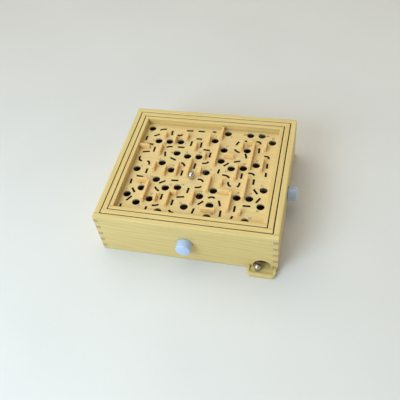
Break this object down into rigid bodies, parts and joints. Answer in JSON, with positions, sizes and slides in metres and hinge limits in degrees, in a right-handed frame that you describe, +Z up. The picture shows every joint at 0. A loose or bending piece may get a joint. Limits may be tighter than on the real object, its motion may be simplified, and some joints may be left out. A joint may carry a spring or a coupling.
{
  "type": "tilt maze game",
  "caption": "Wooden tilt maze: a finger-jointed case, two nested tilting frames driven by knobs and cords, a holed maze board, and a sloped floor that returns the steel ball.",
  "frame": {"origin": "middle of the case's underside", "axes": "+X along the longest side, to the player's right; -Y towards the player; +Z up"},
  "size_m": [0.3436, 0.3066, 0.095],
  "materials": {
    "case_wood": "satin pale birch",
    "frame_wood": "satin pale birch",
    "board_wood": "satin plywood",
    "strip_wood": "satin",
    "inner_wood": "unfinished plywood",
    "knob_enamel": "pale gloss",
    "ball_chrome": "polished",
    "steel": "drawn wire and rod",
    "nylon": "moulded",
    "cord": "braided"
  },
  "bodies": {
    "case": {"front_wall": "case_wood", "back_wall": "case_wood", "left_wall": "case_wood", "right_wall": "case_wood", "base_board": "inner_wood", "floor_supports": "inner_wood", "return_floor": "inner_wood", "catch_tray": "case_wood", "front_knob_bush": "nylon", "front_shaft_far_bush": "nylon", "side_knob_bush": "nylon", "side_shaft_far_bush": "nylon", "outer_frame_pivot_pins": "steel", "left_cord_guide": "inner_wood", "right_cord_guide": "inner_wood", "front_cord_guide": "inner_wood", "back_cord_guide": "inner_wood", "cord_guide_pins": "steel", "tray_cord_left": "cord", "tray_cord_right": "cord", "outer_frame_cord_front": "cord", "outer_frame_cord_back": "cord"},
    "outer_frame": {"outer_frame_front_rail": "frame_wood", "outer_frame_back_rail": "frame_wood", "outer_frame_left_rail": "frame_wood", "outer_frame_right_rail": "frame_wood", "tray_pivot_pins": "steel", "outer_frame_screw_eyes": "steel", "outer_frame_spring": "steel"},
    "tray": {"tray_front_rail": "frame_wood", "tray_back_rail": "frame_wood", "tray_left_rail": "frame_wood", "tray_right_rail": "frame_wood", "maze_board": "board_wood", "maze_strips_line_2": "strip_wood", "maze_strips_line_3": "strip_wood", "maze_strips_line_4": "strip_wood", "maze_strips_line_5": "strip_wood", "maze_strips_line_6": "strip_wood", "maze_strips_line_7": "strip_wood", "maze_strips_line_8": "strip_wood", "maze_strips_line_9": "strip_wood", "maze_strips_line_10": "strip_wood", "maze_strips_line_11": "strip_wood", "maze_strips_crosswise": "strip_wood", "tray_screw_eyes": "steel", "tray_spring": "steel"},
    "front_drive": {"front_knob": "knob_enamel", "front_shaft": "steel", "front_shaft_clip": "steel", "front_cord_winding": "cord"},
    "side_drive": {"side_knob": "knob_enamel", "side_shaft": "steel", "side_shaft_clip": "steel", "side_cord_winding": "cord"},
    "board_ball": {"board_ball": "ball_chrome"},
    "returned_ball": {"returned_ball": "ball_chrome"}
  },
  "joints": [
    {"name": "outer_frame_tilt", "type": "hinge", "parent": "case", "child": "outer_frame", "pos_m": [0, 0, 0.085], "axis": [1, 0, 0], "range_deg": [-5, 5], "deforming": ["outer_frame_cord_front", "outer_frame_cord_back", "tray_cord_left", "tray_cord_right"]},
    {"name": "tray_tilt", "type": "hinge", "parent": "outer_frame", "child": "tray", "pos_m": [0, 0, 0.085], "axis": [0, 1, 0], "range_deg": [-5, 5], "deforming": ["tray_cord_left", "tray_cord_right"]},
    {"name": "front_knob_turn", "type": "hinge", "parent": "case", "child": "front_drive", "pos_m": [0, 0, 0.0495], "axis": [0, 1, 0], "range_deg": [-221, 221]},
    {"name": "side_knob_turn", "type": "hinge", "parent": "case", "child": "side_drive", "pos_m": [0, 0, 0.043], "axis": [1, 0, 0], "range_deg": [-207, 207]},
    {"name": "board_ball_lift", "type": "slide", "parent": "tray", "child": "board_ball", "axis": [0, 0, 1], "range_m": [0, 0.06]},
    {"name": "returned_ball_lift", "type": "slide", "parent": "case", "child": "returned_ball", "axis": [0, -0.7071, 0.7071], "range_m": [0, 0.06]}
  ],
  "couplings": [
    {"joint": "front_knob_turn", "follows": "tray_tilt", "ratio": 44.016},
    {"joint": "side_knob_turn", "follows": "outer_frame_tilt", "ratio": 41.194}
  ]
}
